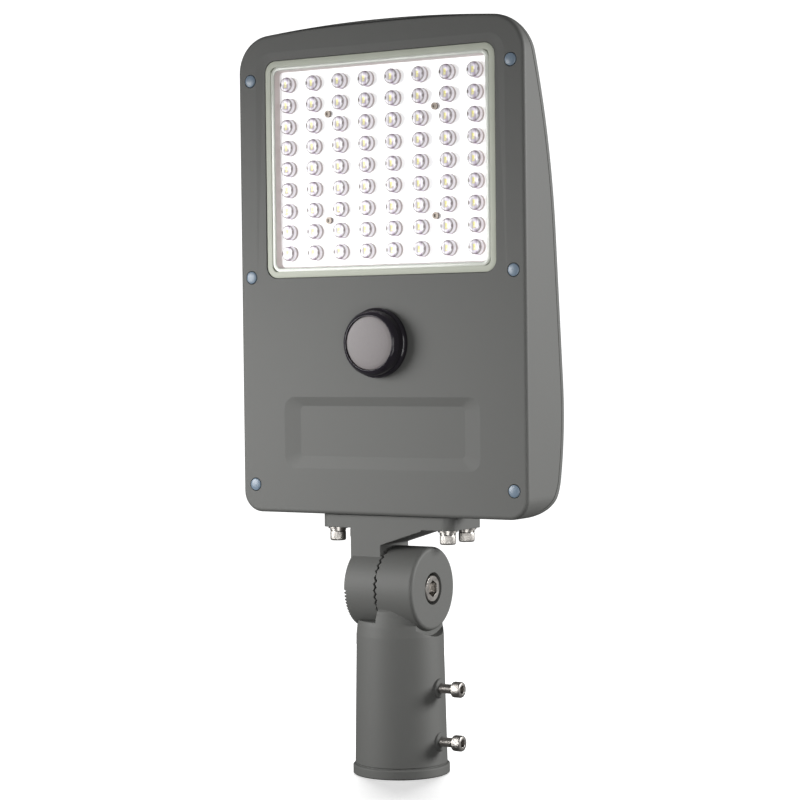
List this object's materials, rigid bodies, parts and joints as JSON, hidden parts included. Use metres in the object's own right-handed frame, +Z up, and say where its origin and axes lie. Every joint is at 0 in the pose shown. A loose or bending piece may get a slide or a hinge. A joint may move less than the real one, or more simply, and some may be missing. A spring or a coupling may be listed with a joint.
{
  "type": "solar street lamp",
  "caption": "Solar street-light head with lensed light window, motion sensor and curved solar back, on a serrated tilting knuckle and a clamped slip fitter for a pole.",
  "frame": {"origin": "centre of the pole socket's mouth, on the fitter's lower face", "axes": "+Z up along the pole, +X along the knuckle's pin towards its bolt head, the light window faces -Y at rest"},
  "size_m": [0.271, 0.083, 0.6112],
  "materials": {
    "housing_coat": "die cast with a fine matt dark-grey powder coat",
    "seal_rubber": "matt black",
    "backsheet": "matt white film",
    "solar_cell": "blue-black monocrystalline silicon",
    "solar_sheet": "clear fluoropolymer film, lightly textured",
    "window_rubber": "pale grey-green silicone, satin",
    "board_white": "white solder mask",
    "led_phosphor": "yellow phosphor",
    "lens_clear": "clear moulded polycarbonate",
    "sensor_black": "gloss black",
    "sensor_lens": "dark grey, satin",
    "plug_blue": "pale blue silicone, satin",
    "battery_wrap": "cell cans in a blue shrink sleeve",
    "black_plastic": "moulded, matt",
    "circuit_board": "green solder mask",
    "wire_jacket": "red silicone wire",
    "stainless": "turned stainless steel, bright"
  },
  "bodies": {
    "fitter": {"slip_fitter": "housing_coat", "pivot_bolt": "stainless", "pivot_washer": "stainless", "pivot_nut": "stainless"},
    "head": {"front_housing": "housing_coat", "rear_cover": "housing_coat", "cover_seal": "seal_rubber", "solar_backsheet": "backsheet", "solar_cells": "solar_cell", "solar_front_sheet": "solar_sheet", "solar_seal": "seal_rubber", "junction_box": "black_plastic", "window_gasket": "window_rubber", "led_board": "board_white", "led_chips": "led_phosphor", "lens_plate": "lens_clear", "lens_screw_1": "stainless", "lens_screw_2": "stainless", "lens_screw_3": "stainless", "lens_screw_4": "stainless", "sensor_body": "sensor_black", "sensor_window": "sensor_lens", "sensor_seal": "seal_rubber", "sensor_nut": "sensor_black", "screw_plug_1": "plug_blue", "screw_plug_2": "plug_blue", "screw_plug_3": "plug_blue", "screw_plug_4": "plug_blue", "screw_plug_5": "plug_blue", "screw_plug_6": "plug_blue", "cover_screw_1": "stainless", "cover_screw_2": "stainless", "cover_screw_3": "stainless", "cover_screw_4": "stainless", "cover_screw_5": "stainless", "cover_screw_6": "stainless", "battery_cells": "battery_wrap", "battery_tray": "black_plastic", "charge_controller": "circuit_board", "controller_parts": "black_plastic", "wiring": "wire_jacket", "head_bracket": "housing_coat", "bracket_bolt_1": "stainless", "bracket_bolt_2": "stainless", "bracket_bolt_3": "stainless", "bracket_bolt_4": "stainless", "flat_washer_1": "stainless", "flat_washer_2": "stainless", "flat_washer_3": "stainless", "flat_washer_4": "stainless", "lock_washer_1": "stainless", "lock_washer_2": "stainless", "lock_washer_3": "stainless", "lock_washer_4": "stainless"},
    "clamp_upper": {"clamp_screw_upper": "stainless"},
    "clamp_lower": {"clamp_screw_lower": "stainless"}
  },
  "joints": [
    {"name": "head_tilt", "type": "hinge", "parent": "fitter", "child": "head", "pos_m": [0, 0, 0.1516], "axis": [1, 0, 0], "range_deg": [-90, 90]},
    {"name": "upper_clamp_travel", "type": "slide", "parent": "fitter", "child": "clamp_upper", "axis": [-1, 0, 0], "range_m": [0, 0.01]},
    {"name": "lower_clamp_travel", "type": "slide", "parent": "fitter", "child": "clamp_lower", "axis": [-1, 0, 0], "range_m": [0, 0.01]}
  ]
}
